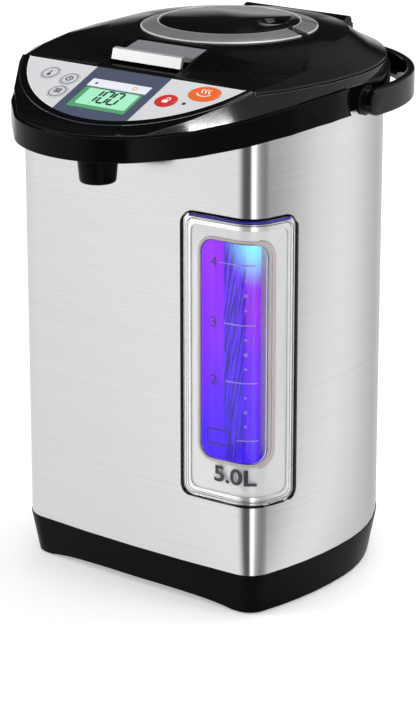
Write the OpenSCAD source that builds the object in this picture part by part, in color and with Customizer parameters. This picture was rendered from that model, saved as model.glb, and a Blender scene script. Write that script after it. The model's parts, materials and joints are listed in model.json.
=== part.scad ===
// Electric thermo pot, five litres: pumped hot water, lit level window, hinged lid.
// Front (the spout) is -Y, the carrying handle is at +Y, +Z is up, and the
// origin is the middle of the footprint on the table. Millimetres.

/* [Body] */
// Width of the steel body
body_w = 212; // [208:1:214]
// From the origin to the middle of the front face
body_front = 100; // [99:0.5:101]
// From the origin to the middle of the back
body_back = 96; // [95.5:0.5:97]
// Radius of the two front corners
corner_r = 18; // [16:1:20]
// Height of the top edge of the steel
steel_top = 310; // [308:1:312]
// Thickness of the steel sheet
steel_t = 0.8; // [0.6:0.1:1]

/* [Base] */
// Height of the black base
base_h = 28; // [26:1:29]
// How far the base draws in towards the table
base_taper = 5; // [3:0.5:6]
// Height of the shallow arch in the front edge
arch_h = 4; // [2:0.5:5]

/* [Inner pot] */
// Inner radius of the pot
pot_r = 92.4; // [91:0.2:92.8]
// Height of the pot floor above the table
pot_floor = 77; // [76:0.5:79]
// Radius of the mouth under the lid
mouth_r = 76; // [72:1:77]

/* [Head] */
// Width of the head
head_w = 220; // [219:0.5:222]
// Reach of the nose in front of the origin
nose_reach = 169.5; // [168:0.5:171]
// Radius of the sweep from the side of the head to the nose
head_side_r = 190.5; // [188:0.5:194]
// Lower edge of the head at the sides
skirt_z = 308.5; // [308:0.5:309]
// Fall of that edge towards the nose
skirt_drop = 11.5; // [10:0.5:12]
// Seam between shoulder and upper frame at the sides
seam_z = 325.5; // [325:0.5:326]
// Fall of the seam towards the nose
seam_drop = 14; // [13.5:0.5:14.5]
// Level on which the lid rests
rim_z = 331.6; // [331.4:0.1:332]

/* [Control panel] */
// Height of the panel's top edge
panel_top_z = 334.1; // [333.8:0.1:334.3]
// Slope of the panel, in degrees
panel_tilt = 20.8; // [20.4:0.2:21]
// Travel of each button
button_travel = 0.8; // [0.5:0.1:0.9]

/* [Lid] */
// Height of the flat middle of the lid
lid_top = 346.2; // [345.8:0.1:346.6]
// Outer radius of the silver ring
ring_r = 56.3; // [55:0.5:57]

/* [Handle] */
// From the origin to the back of the handle
handle_reach = 124; // [122:1:126]
// Outer half width of the handle
handle_half = 116; // [115.5:0.5:118]
// Height of the strap
strap_w = 17; // [15:1:19]
// Thickness of the strap
strap_t = 5; // [4:0.5:5]

/* [Window] */
// Lower edge of the clear cover
window_low = 74; // [72:1:76]
// Upper edge of the clear cover
window_high = 255.5; // [253:0.5:257]
// Left edge of the clear cover on the front face
window_left = 39; // [37:1:41]
// Rear edge of the clear cover on the side face
window_back = -66.6; // [-68:0.2:-65]

/* [Hidden] */

$fn = 64;
e = 0.01;
far = 400;

// Colours
black = [0.06, 0.06, 0.065];
soft_black = [0.12, 0.12, 0.125];
steel = [0.78, 0.78, 0.79];
silver = [0.72, 0.73, 0.75];
slate = [0.22, 0.26, 0.36];

// ---- plan outlines, as tangent arcs ----

mid_y = body_back - body_w / 2;
body_side_r = 225;
body_front_r = 1140;
front_c = [0, -body_front + body_front_r];
side_c = [body_w / 2 - body_side_r, mid_y];
corner_c = meet(front_c, body_front_r - corner_r, side_c, body_side_r - corner_r);
front_end = direction(front_c, corner_c);
side_end = direction(side_c, corner_c);

head_reach = nose_reach + mid_y;
head_side = head_side_r - head_w / 2;
nose_r = (pow(head_side_r, 2) - pow(head_side, 2) - pow(head_reach, 2))
         / (2 * (head_side_r - head_reach));
nose_c = [0, nose_r - nose_reach];
head_side_c = [-head_side, mid_y];
nose_end = direction(head_side_c, nose_c);

// The crossing of two circles that lies nearest the front
function meet(c1, r1, c2, r2) =
    let(d = norm(c2 - c1), a = (r1 * r1 - r2 * r2 + d * d) / (2 * d),
        h = sqrt(r1 * r1 - a * a), u = (c2 - c1) / d, m = c1 + a * u,
        p = m + h * [-u[1], u[0]], q = m - h * [-u[1], u[0]])
    p[1] < q[1] ? p : q;
function direction(from, to) = atan2(to[1] - from[1], to[0] - from[0]);
function arc(c, r, a0, a1, n, first = 0) =
    [for (i = [first : n]) let(a = a0 + (a1 - a0) * i / n) c + r * [cos(a), sin(a)]];
function mirrored(right) =
    concat(right, [for (i = [len(right) - 2 : -1 : 1]) [-right[i][0], right[i][1]]]);
function body_outline(off = 0) = mirrored(concat(
    arc(front_c, body_front_r + off, -90, front_end, 2),
    arc(corner_c, corner_r + off, front_end, side_end, 8, 1),
    arc(side_c, body_side_r + off, side_end, 0, 5, 1),
    arc([0, mid_y], body_w / 2 + off, 0, 90, 14, 1)));
function head_outline(off = 0) = mirrored(concat(
    arc(nose_c, nose_r + off, -90, nose_end, 11),
    arc(head_side_c, head_side_r + off, nose_end, 0, 5, 1),
    arc([0, mid_y], head_w / 2 + off, 0, 90, 14, 1)));

module body_prism(off, low, high)
    translate([0, 0, low]) linear_extrude(high - low) polygon(body_outline(off));
module head_prism(off, low, high)
    translate([0, 0, low]) linear_extrude(high - low) polygon(head_outline(off));

// ---- helpers ----

// A profile given in (y, z), drawn along X
module along_x(points, length = far)
    rotate([90, 0, 90]) linear_extrude(length, center = true) polygon(points);
module rod_x(r, length, at, n = 48)
    translate(at) rotate([0, 90, 0]) cylinder(r = r, h = length, center = true, $fn = n);
module rod_z(r, low, high, at = [0, 0], n = 48)
    translate([at[0], at[1], low]) cylinder(r = r, h = high - low, $fn = n);
module ring_z(r_in, r_out, low, high, at = [0, 0], n = 96)
    translate([at[0], at[1], low]) difference() {
        cylinder(r = r_out, h = high - low, $fn = n);
        translate([0, 0, -1]) cylinder(r = r_in, h = high - low + 2, $fn = n);
    }
module box(low, high) translate(low) cube(high - low);
// Everything above the plane through three points
module above_plane(p, q, s) {
    raw = cross(q - p, s - p);
    n = (raw[2] > 0 ? raw : -raw) / norm(raw);
    translate(p) rotate([0, acos(n[2]), atan2(n[1], n[0])])
        translate([-far, -far, 0]) cube([2 * far, 2 * far, 200]);
}
module both_sides() {
    children();
    mirror([1, 0, 0]) children();
}
// A rounded rectangle from exact circles
module soft_rect(low, high, r) {
    translate([low[0] + r, low[1]]) square([high[0] - low[0] - 2 * r, high[1] - low[1]]);
    translate([low[0], low[1] + r]) square([high[0] - low[0], high[1] - low[1] - 2 * r]);
    for (x = [low[0] + r, high[0] - r], y = [low[1] + r, high[1] - r])
        translate([x, y]) circle(r, $fn = 32);
}
// A hollow hose swept along points
function unit(v) = v / norm(v);
function hose_ring(p, i, r, sides, side_hint) =
    let(t = i == 0 ? unit(p[1] - p[0])
            : i == len(p) - 1 ? unit(p[i] - p[i - 1])
            : unit(unit(p[i + 1] - p[i]) + unit(p[i] - p[i - 1])),
        u = unit(cross(side_hint, t)), v = cross(t, u))
    [for (k = [0 : sides - 1]) p[i] + r * (u * cos(360 * k / sides) + v * sin(360 * k / sides))];
module hose(p, r_out, r_in, side_hint = [0.31, 0.94, 0.13], sides = 12) {
    n = len(p);
    outer = [for (i = [0 : n - 1]) each hose_ring(p, i, r_out, sides, side_hint)];
    inner = [for (i = [0 : n - 1]) each hose_ring(p, i, r_in, sides, side_hint)];
    o = n * sides;
    last = (n - 1) * sides;
    wall = [for (i = [0 : n - 2], k = [0 : sides - 1])
        let(a = i * sides + k, b = i * sides + (k + 1) % sides)
        [[a, a + sides, b + sides, b], [o + a, o + b, o + b + sides, o + a + sides]]];
    ends = [for (k = [0 : sides - 1]) let(m = (k + 1) % sides)
        [[k, m, o + m, o + k], [last + k, o + last + k, o + last + m, last + m]]];
    polyhedron(concat(outer, inner), [for (pair = concat(wall, ends)) each pair]);
}

// ---- the head's long curves ----

drop_from = -20;
drop_len = nose_reach + drop_from;
function fall(y) = (1 - cos(180 * min(1, max(0, (drop_from - y) / drop_len)))) / 2;
function skirt_at(y) = skirt_z - skirt_drop * fall(y);
function seam_at(y) = seam_z - seam_drop * fall(y);
curve_ys = [for (i = [0 : 10]) -(nose_reach + 3) + i * (nose_reach + 3 + drop_from) / 10];
skirt_line = [for (y = curve_ys) [y, skirt_at(y)]];
seam_line = [for (y = curve_ys) [y, seam_at(y)]];
function reversed(list) = [for (i = [len(list) - 1 : -1 : 0]) list[i]];
function lifted(list, up) = [for (p = list) [p[0], p[1] + up]];
back_y = 130;

panel_top_y = -93.4;
panel_k = tan(panel_tilt);
panel_low_y = -147.5;
function panel_at(y) = panel_top_z + panel_k * (y - panel_top_y);
nose_line = [[-nose_reach - 3, seam_at(-nose_reach) + 0.7], [-163, seam_at(-nose_reach) + 1.3],
             [-154, panel_at(panel_low_y) - 0.4], [panel_low_y, panel_at(panel_low_y)],
             [panel_top_y, panel_top_z], [panel_top_y, rim_z]];

head_wall = 2.4;
deck_t = 2.5;
deck_z = steel_top + deck_t;
pot_c = [0, -2];
collar_in = 84;
collar_out = 86.4;
spout_c = [0, -131];
gap = 0.4;

// ---- base ----

module base_form(off, low, high)
    hull() {
        translate([0, 0, low]) linear_extrude(e) polygon(body_outline(off - base_taper));
        translate([0, 0, high - e]) linear_extrude(e) polygon(body_outline(off));
    }
rim_low = 1.2;
base_deck_low = base_h - 3;
screw_spots = [[-84, -44], [84, -44], [-76, 28], [76, 28]];
foot_spots = [[-68, -64], [68, -64], [-56, 50], [56, 50]];
plate_low = 3;
plate_t = 2.5;

module base_shell() color(black) difference() {
    union() {
        difference() {
            base_form(0.4, rim_low, base_h);
            translate([0, 0, -e]) base_form(-2.2, rim_low, base_deck_low);
        }
        difference() {
            body_prism(-steel_t - 0.1, base_h - e, base_h + 5);
            body_prism(-steel_t - 2.3, base_h - 1, base_h + 6);
        }
        for (p = screw_spots) rod_z(4.5, plate_low + plate_t, base_deck_low + 1, p);
    }
    // arch in the front edge, with soft ends
    translate([0, -body_front, rim_low - 1]) rotate([90, 0, 0])
        linear_extrude(30, center = true)
            polygon(concat([[-80, -2]],
                [for (i = [-8 : 8]) [i * 9.6, (arch_h + 1) * (1 - pow(abs(i) / 8, 4)) - e]],
                [[80, -2]]));
    for (p = screw_spots) rod_z(1.5, 0, 18, p);
    // way for the mains leads behind and air slots round the middle
    box([-16, 70, base_deck_low - 1], [16, 84, base_h + 6]);
    for (i = [-4 : 4]) box([i * 8 - 1.5, 20, base_deck_low - 1], [i * 8 + 1.5, 52, base_h + 1]);
}

module bottom_plate() color(soft_black) difference() {
    union() {
        body_prism(-8.2, plate_low, plate_low + plate_t);
        for (p = foot_spots) ring_z(8.2, 10, plate_low - 1.5, plate_low + 1, p, 48);
    }
    for (p = screw_spots) {
        rod_z(1.9, 0, 10, p);
        rod_z(3.6, 0, plate_low + 1, p);
    }
    for (i = [-5 : 5]) box([i * 7 - 1.3, -26, 0], [i * 7 + 1.3, 22, 10]);
}

module rubber_feet() color([0.05, 0.05, 0.05])
    for (p = foot_spots) translate([p[0], p[1], 0])
        rotate_extrude($fn = 48) polygon([[0, 0], [6.6, 0], [7.4, 0.8], [7.8, plate_low], [0, plate_low]]);

module base_screws() color(steel)
    for (p = screw_spots) difference() {
        union() {
            rod_z(3.2, plate_low - 0.6, plate_low + 1, p, 32);
            rod_z(1.5, plate_low + 1 - e, 16, p, 32);
        }
        for (a = [0, 90]) translate([p[0], p[1], plate_low - 1]) rotate([0, 0, a])
            cube([3.6, 0.8, 1.8], center = true);
    }

// ---- steel body and window ----

slot_left = 51.6;
slot_back = -85;
slot_low = 101;
slot_high = 241;
tube_c = [82, -86];

// What is common to a rounded front view and a rounded side view round the corner
module window_block(left, back, low, high, r)
    intersection() {
        rotate([90, 0, 0]) linear_extrude(2 * far, center = true)
            soft_rect([left, low], [150, high], r);
        rotate([90, 0, 90]) linear_extrude(2 * far, center = true)
            soft_rect([-160, low], [back, high], r);
    }

module body_shell() color(steel) difference() {
    body_prism(0, base_h, steel_top);
    body_prism(-steel_t, base_h - 1, steel_top + 1);
    window_block(window_left + 6, window_back - 5.4, window_low + 6, window_high - 6.5, 5);
    box([-17, body_back - 8, 42], [17, body_back + 5, 70]);
}

module window_cover() color([0.85, 0.92, 0.97, 0.4]) intersection() {
    difference() {
        body_prism(2.8, window_low - 5, window_high + 5);
        difference() {
            body_prism(1, window_low - 6, window_high + 6);
            difference() {
                window_block(window_left - 20, window_back + 20, window_low - 20, window_high + 20, 2);
                window_block(window_left + 2, window_back - 2, window_low + 2, window_high - 2, 5);
            }
        }
        body_prism(0, window_low - 7, window_high + 7);
    }
    window_block(window_left, window_back, window_low, window_high, 7);
}

module window_panel() color([0.86, 0.86, 0.84]) intersection() {
    difference() {
        body_prism(-steel_t, window_low, window_high);
        body_prism(-steel_t - 1.8, window_low - 1, window_high + 1);
        window_block(slot_left, slot_back, slot_low, slot_high, 9);
    }
    window_block(window_left + 2, window_back - 1, window_low + 2, window_high - 2, 5);
}

backlight_off = -14.2;
module window_backlight() color([0.35, 0.25, 0.95]) difference() {
    union() {
        intersection() {
            difference() {
                body_prism(backlight_off, slot_low - 5, slot_high + 4);
                body_prism(backlight_off - 1.6, slot_low - 6, slot_high + 5);
            }
            window_block(slot_left - 2, slot_back + 4, slot_low - 5, slot_high + 4, 3);
        }
        // side walls and floor that reach the panel
        intersection() {
            difference() {
                body_prism(-steel_t - 1.8, slot_low - 5, slot_high + 4);
                body_prism(backlight_off - 1.6, slot_low - 6, slot_high + 5);
            }
            difference() {
                window_block(slot_left - 2, slot_back + 4, slot_low - 5, slot_high + 4, 3);
                window_block(slot_left - 0.4, slot_back + 2.4, slot_low - 3.4, slot_high + 2.4, 3);
            }
        }
    }
    rod_z(tube_r + 0.05, tube_low - 9, tube_high + 9, tube_c);
}

tube_low = slot_low - 5;
tube_high = slot_high + 4;
tube_r = 4.6;
tube_bore = 3;
module sight_tube() color([0.9, 0.95, 1, 0.5])
    ring_z(tube_bore, tube_r, tube_low - 8, tube_high + 8, tube_c, 48);

module window_lamps() color([0.9, 0.95, 0.85]) {
    difference() {
        translate([0, 0, tube_high]) linear_extrude(1.6) intersection() {
            polygon(body_outline(-steel_t - 2.6));
            translate([tube_c[0] - 26, tube_c[1] - 12]) square([36, 22]);
            difference() {
                polygon(body_outline(-steel_t - 2.6));
                translate(pot_c) circle(pot_r + 2.2, $fn = 96);
            }
        }
        rod_z(tube_r + 0.1, tube_high - 1, tube_high + 3, tube_c);
    }
    for (p = [[64, -91], [72, -91]]) translate([p[0], p[1], tube_high + 1.6]) {
        cylinder(r = 2.5, h = 3, $fn = 32);
        translate([0, 0, 3]) sphere(r = 2.5, $fn = 32);
    }
}

// ---- inner pot and heater ----

pot_wall = 0.8;
pot_lip_z = steel_top - 1.5;
pot_outlet = [38, -54];

module inner_pot() color(steel) difference() {
    union() {
        translate([pot_c[0], pot_c[1], 0]) rotate_extrude($fn = 120)
            polygon(concat(
                [[0, pot_floor - pot_wall]],
                arc([pot_r - 9, pot_floor + 9], 9 + pot_wall, -90, 0, 6),
                [[pot_r + pot_wall, pot_lip_z - 1.6], [96.2, pot_lip_z - 0.8], [96.2, pot_lip_z],
                 [pot_r, pot_lip_z]],
                reversed(arc([pot_r - 9, pot_floor + 9], 9, -90, 0, 6)),
                [[0, pot_floor]]));
        rod_z(5, pot_floor - 10, pot_floor - 0.4, pot_outlet);
    }
    rod_z(3.8, pot_floor - 11, pot_floor + 1, pot_outlet);
}

module pot_gasket() color([0.85, 0.85, 0.83])
    ring_z(pot_r + 0.6, 96, pot_lip_z, steel_top, pot_c);

module pot_posts() color(soft_black)
    for (a = [30 : 120 : 270]) let(p = pot_c + 76 * [cos(a), sin(a)]) {
        rod_z(4, base_h, pot_floor - pot_wall, p, 32);
        rod_z(8, base_h, base_h + 3, p, 32);
    }

plate_top = pot_floor - pot_wall;
module heater_plate() color([0.75, 0.75, 0.76]) difference() {
    rod_z(66, plate_top - 4, plate_top, pot_c, 96);
    rod_z(8, plate_top - 5, plate_top + 1, pot_outlet);
    rod_z(1.6, plate_top - 5, plate_top - 1, [-30, -34]);
}

module heater_ring() color([0.55, 0.55, 0.56])
    translate([pot_c[0], pot_c[1], plate_top - 4 - 3.4]) {
        rotate([0, 0, -20]) rotate_extrude(angle = 310, $fn = 96)
            polygon([[44.4, -2], [46, -3.4], [50, -3.4], [51.6, -2], [51.6, 3.4], [44.4, 3.4]]);
        for (a = [-16, 286]) rotate([0, 0, a]) translate([48, 0, -14])
            cylinder(r = 1.8, h = 14, $fn = 24);
    }

module thermostat() color([0.3, 0.22, 0.18]) {
    rod_z(8, plate_top - 11, plate_top - 4, [0, 10]);
    rod_z(11, plate_top - 5.2, plate_top - 4, [0, 10]);
    for (x = [-5, 5]) box([x - 2.2, 9.6, plate_top - 18], [x + 2.2, 10.4, plate_top - 11]);
}

module thermal_fuse() color([0.8, 0.7, 0.5]) {
    rod_x(2, 18, [-22, -10, plate_top - 6], 32);
    box([-27, -12.6, plate_top - 8.6], [-17, -7.4, plate_top - 8]);
    for (y = [-12.6, -8]) box([-27, y, plate_top - 8.6], [-17, y + 0.6, plate_top - 4]);
}

// ---- pump ----

pump_c = pot_outlet;
pump_low = base_h + 20;
module pump_motor() color(steel) {
    rod_z(11, base_h, pump_low - 2, pump_c);
    rod_z(4, pump_low - 2 - e, pump_low, pump_c);
}

module pump_housing() color(soft_black) difference() {
    union() {
        rod_z(16, pump_low, pump_low + 8, pump_c);
        for (a = [45, 135, 225, 315]) translate(pump_c) rotate([0, 0, a]) translate([15.5, 0, pump_low])
            cylinder(r = 3.2, h = 8, $fn = 32);
        // outlet stub towards the gauge
        translate([pump_c[0], pump_c[1] - 10.5, pump_low + 4.5]) rotate([0, 90, 0])
            cylinder(r = 3.5, h = 24, $fn = 32);
    }
    rod_z(13, pump_low + 1.6, pump_low + 9, pump_c);
    translate([pump_c[0], pump_c[1] - 10.5, pump_low + 4.5]) rotate([0, 90, 0])
        cylinder(r = 2.3, h = 30, $fn = 32);
    rod_z(1.55, pump_low - 1, pump_low + 3, pump_c, 32);
}

module pump_cover() color(soft_black) difference() {
    union() {
        rod_z(16, pump_low + 8, pump_low + 9.6, pump_c);
        rod_z(5, pump_low + 9, pump_low + 14, pump_c);
    }
    rod_z(3.6, pump_low + 7, pump_low + 16, pump_c);
    for (a = [45, 135, 225, 315]) translate(pump_c) rotate([0, 0, a]) translate([14.4, 0, pump_low + 7])
        cylinder(r = 1, h = 4, $fn = 24);
}

module pump_impeller() color([0.9, 0.9, 0.88]) translate(pump_c) {
    rod_z(1.5, pump_low + 0.1, pump_low + 3, [0, 0], 32);
    rod_z(11, pump_low + 2, pump_low + 3.2);
    rod_z(3.2, pump_low + 3, pump_low + 7.2);
    for (i = [0 : 5]) rotate([0, 0, 60 * i]) translate([0, 0, pump_low + 3.2 - e])
        linear_extrude(4) polygon(concat(arc([8, -6], 8.4, 122, 72, 5),
                                         reversed(arc([8, -6], 7.2, 122, 72, 5))));
}

module pot_outlet_hose() color([0.8, 0.8, 0.78])
    ring_z(5, 6.6, pump_low + 10.6, pot_floor - 5, pump_c, 48);

// The part of a hose that is pushed over the gauge tube
module tube_sleeve(low, high)
    ring_z(tube_r + 0.05, tube_r + 1.2, low, high, tube_c, 64);
module tube_washer(low, high)
    ring_z(2.6, tube_r + 1.2, low, high, tube_c, 64);
hose_out = 3.6;
hose_in = 2.6;
stub_z = pump_low + 4.5;
gauge_points = [[62, -64.5, stub_z], [65.5, -64.5, stub_z], [70, -66, stub_z + 0.6], [74.5, -70, stub_z + 2.5],
                [78.5, -76, stub_z + 7], [81, -82, stub_z + 14], [82, -85.4, stub_z + 22],
                [82, -86, stub_z + 28], [82, -86, tube_low - 9]];
module gauge_hose() color([0.8, 0.8, 0.78]) {
    hose(gauge_points, hose_out, hose_in);
    tube_washer(tube_low - 9.2, tube_low - 8);
    tube_sleeve(tube_low - 8.2, tube_low - 2);
}

spout_points = [[82, -86, tube_high + 9], [82, -86, 306], [81.4, -86.6, 311.4], [79, -89.2, 315.2],
                [74, -94.6, 316.8], [66, -101.4, 316.4], [56, -107.6, 313.2], [44, -113, 310.4],
                [32, -117.6, 309], [20, -122, 308.8], [11, -126, 309.2], [5, -128.8, 308.8],
                [1.4, -130.4, 307.2], [0, -131, 304.6], [0, -131, 301]];
module spout_hose() color([0.8, 0.8, 0.78]) {
    hose(spout_points, hose_out, hose_in);
    tube_washer(tube_high + 8, tube_high + 9.2);
    tube_sleeve(tube_high + 2, tube_high + 8.2);
}

// ---- electrics in the base ----

module power_board() color([0.2, 0.42, 0.25]) {
    box([-78, -58, base_h + 5], [-18, 22, base_h + 6.6]);
    for (x = [-74, -22], y = [-54, 18]) rod_z(2.5, base_h, base_h + 5, [x, y], 24);
}

module power_board_parts() {
    color([0.25, 0.35, 0.7]) box([-72, -50, base_h + 6.6], [-52, -34, base_h + 22]);
    color([0.85, 0.7, 0.2]) box([-72, -24, base_h + 6.6], [-44, 2, base_h + 28]);
    color([0.2, 0.2, 0.25]) for (p = [[-34, -44], [-34, -30]]) rod_z(5, base_h + 6.6, base_h + 22, p, 32);
    color([0.15, 0.15, 0.15]) box([-36, -16, base_h + 6.6], [-24, 4, base_h + 18]);
}

inlet_z = 56;
module power_inlet() color(black) difference() {
    union() {
        box([-16.4, body_back - 22, inlet_z - 13.4], [16.4, body_back + 0.6, inlet_z + 13.4]);
        box([-20, body_back - 5, inlet_z - 17], [20, body_back - 3.2, inlet_z + 17]);
    }
    box([-13, body_back - 15, inlet_z - 9.5], [13, body_back + 5, inlet_z + 9.5]);
    for (x = [-7, 0, 7]) box([x - 2, body_back - 23, inlet_z - 1], [x + 2, body_back - 14, inlet_z + 1]);
}

module inlet_pins() color([0.8, 0.68, 0.35])
    for (x = [-7, 0, 7]) box([x - 2, body_back - 28, inlet_z - 1], [x + 2, body_back - 3, inlet_z + 1]);

// ---- shoulder: the lower half of the head, with the nose ----

pivot = [0, -2, 314];
notch_c = [0, -3, 320];
notch_r = 22;
notch_x = body_w / 2 + 0.6;
hub_r = 8;
pin_r = 3.5;
frame_off = -2;
rim_wall = head_wall - frame_off;
// A rod along X from x0 to x1
module rod_between(r, x0, x1, at = pivot, n = 48)
    rod_x(r, x1 - x0, [(x0 + x1) / 2, at[1], at[2]], n);

module shoulder() color(black) difference() {
    union() {
        difference() {
            intersection() {
                head_prism(0, 280, 340);
                along_x(concat(skirt_line, [[back_y, skirt_z], [back_y, seam_z]],
                               reversed(seam_line)));
            }
            // hollow of the head above the deck
            head_prism(-rim_wall, deck_z, 340);
            // hollow of the nose in front of the steel
            intersection() {
                difference() {
                    head_prism(-rim_wall, 280, 340);
                    body_prism(3, 279, 341);
                }
                along_x(concat(lifted(skirt_line, 2.4),
                               [[-60, 340], [-nose_reach - 3, 340]]));
            }
        }
        ring_z(collar_in, collar_out, deck_z - 1, rim_z - 2.8, pot_c);
        // blocks behind the handle notches
        both_sides() intersection() {
            rod_between(notch_r + 2, notch_x - 3, notch_x + 2, notch_c, 64);
            head_prism(-1, deck_z - 1, seam_z - 0.5);
        }
    }
    body_prism(gap, 250, steel_top);
    rod_z(mouth_r, 250, 340, pot_c, 120);
    rod_z(9.05, 250, 340, spout_c);
    // way for the spout hose
    hull() for (p = [tube_c, tube_c - [6, 7]]) rod_z(hose_out + 0.8, 300, 318, p, 32);
    // round notches for the handle hubs
    both_sides() {
        rod_between(notch_r, notch_x, 130, notch_c, 64);
        intersection() {
            rod_between(notch_r, notch_x - 4, 130, notch_c, 64);
            box([90, -60, 290], [130, 60, steel_top]);
        }
        rod_between(pin_r, 90, 120);
    }
    for (p = frame_screws) rod_z(1.6, 290, 340, p, 32);
}
frame_screws = [for (a = [35, 145, 215, 325]) pot_c + 95 * [cos(a), sin(a)]];

module head_screws() color(steel)
    for (p = frame_screws) {
        rod_z(1.6, deck_z - deck_t, deck_z + 5, p, 24);
        rod_z(3, deck_z, deck_z + 1.4, p, 24);
    }

nozzle_tip = 274.7;
module spout_nozzle() color(black) difference() {
    union() {
        difference() {
            translate([spout_c[0], spout_c[1], 0]) rotate_extrude($fn = 64)
                polygon([[0, nozzle_tip], [10.6, nozzle_tip], [11.2, nozzle_tip + 1.2], [13.2, 297], [13.2, 302],
                         [0, 302]]);
            along_x(concat(skirt_line, [[drop_from, 340], [-nose_reach - 3, 340]]));
        }
        rod_z(9, nozzle_tip + 10, 303.6, spout_c);
    }
    rod_z(6.4, nozzle_tip - 1, 296, spout_c);
    rod_z(2.8, 290, 302, spout_c);
    rod_z(hose_out + 0.05, 301, 306, spout_c);
}

// ---- upper frame of the head ----

hinge = [0, 82, 340];
hinge_r = 4.5;
knuckle_in = 30.6;
knuckle_out = 40;
dome_c = [0, 5];
lid_off = -2.8;
ledge_off = -14;
ledge_z = 338.4;
tongue_half = 29.4;
tongue_back = [-52, lid_top + 0.2];
tongue_front = [panel_top_y, panel_top_z];
function tongue_at(y) = tongue_back[1] + (y - tongue_back[0])
    * (tongue_front[1] - tongue_back[1]) / (tongue_front[0] - tongue_back[0]);

// The crease round the front of the dome: its three corners and the outer corner of the facet
crease_l = [tongue_half, -84.3, 336.7];
crease_m = [55.7, -69.5, 337.4];
crease_r = [91, -51.9, 338];
facet_c = [92, -94, 333.6];

// The crown of the head, with its chamfered side, two front facets, dome and front tongue;
// down lowers it and tuck draws it in, for the inside
module crown(down = 0, tuck = 0) difference() {
    union() {
        difference() {
            hull() {
                translate([0, 0, rim_z - 4]) linear_extrude(5.8 - down) polygon(head_outline(lid_off - tuck));
                translate([0, 0, ledge_z - e - down]) linear_extrude(e) polygon(head_outline(ledge_off - tuck));
            }
            both_sides() above_plane(crease_l - [0, 0, down], crease_r - [0, 0, down], facet_c - [0, 0, down]);
        }
        hull() {
            translate([0, 0, lid_top - e - down]) linear_extrude(e)
                translate(dome_c) circle(60 - tuck, $fn = 48);
            translate([0, 0, lid_top - 1.7 - down]) linear_extrude(e)
                translate(dome_c) circle(76 - tuck, $fn = 48);
            translate([0, 0, rim_z - 4]) linear_extrude(ledge_z - rim_z + 4 - down)
                polygon([for (p = head_outline(ledge_off - tuck)) if (p[1] > crease_r[1]) p]);
            both_sides() for (p = [crease_l, crease_m, crease_r])
                translate([p[0] - tuck, p[1] + tuck, rim_z - 4]) cube([e, e, p[2] - rim_z + 4 - down]);
        }
    }
    // the tongue that carries the latch slopes down to the panel
    along_x([tongue_back - [0, down], [-100, tongue_at(-100) - down], [-100, 370], [tongue_back[0], 370]],
            2 * tongue_half);
}

module frame_top_line(down)
    along_x(concat([[-nose_reach - 3, 300]], lifted(nose_line, -down),
                   [[back_y, rim_z - down], [back_y, 300]]));

// Places its children on the panel, x across, y up the slope, z out of it
module on_panel() {
    translate([0, -120, panel_at(-120)]) rotate([panel_tilt, 0, 0]) children();
}
function on_slope(y) = (y + 120) / cos(panel_tilt);

panel_half = 86.5;
panel_low = on_slope(-147);
panel_high = on_slope(-94.2);
panel_r = (pow(panel_half, 2) + pow(panel_high - panel_low, 2)) / (2 * (panel_high - panel_low));
module panel_shape(grow = 0)
    intersection() {
        translate([0, panel_low + panel_r]) circle(panel_r + grow, $fn = 160);
        translate([-120, panel_low - 10]) square([240, panel_high + grow - panel_low + 10]);
    }

// [x, place up the slope, half width, half height] of each key
keys = [[-54.5, on_slope(-107.1), 6.5, 6.5], [-37.4, on_slope(-110), 6.5, 6.5],
        [-36.3, on_slope(-123.1), 6.5, 6.5], [39, on_slope(-114.9), 7.2, 6.5],
        [58.5, on_slope(-103.3), 10.7, 7.7]];
lamp_spot = [51.8, on_slope(-114.9)];
key_gap = 0.25;
plate_sink = 1;
skin = 2.4;
board_z = -8.6;
board_posts = [[-67, 9], [-25.4, 15], [25.4, 15], [27, 5]];
lcd_half = 21.5;
lcd_low = on_slope(-134);
lcd_high = on_slope(-114);
header_low = on_slope(-113);
header_high = on_slope(-105.5);

module key_plan(k, grow = 0) translate([k[0], k[1]])
    if (k[2] == k[3]) circle(k[2] + grow, $fn = 48);
    else polygon([for (i = [0 : 47]) [(k[2] + grow) * cos(i * 7.5), (k[3] + grow) * sin(i * 7.5)]]);
module key_holes(low, high)
    translate([0, 0, low]) linear_extrude(high - low) {
        for (k = keys) key_plan(k, key_gap);
        translate(lamp_spot) circle(1.3, $fn = 24);
    }

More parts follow.
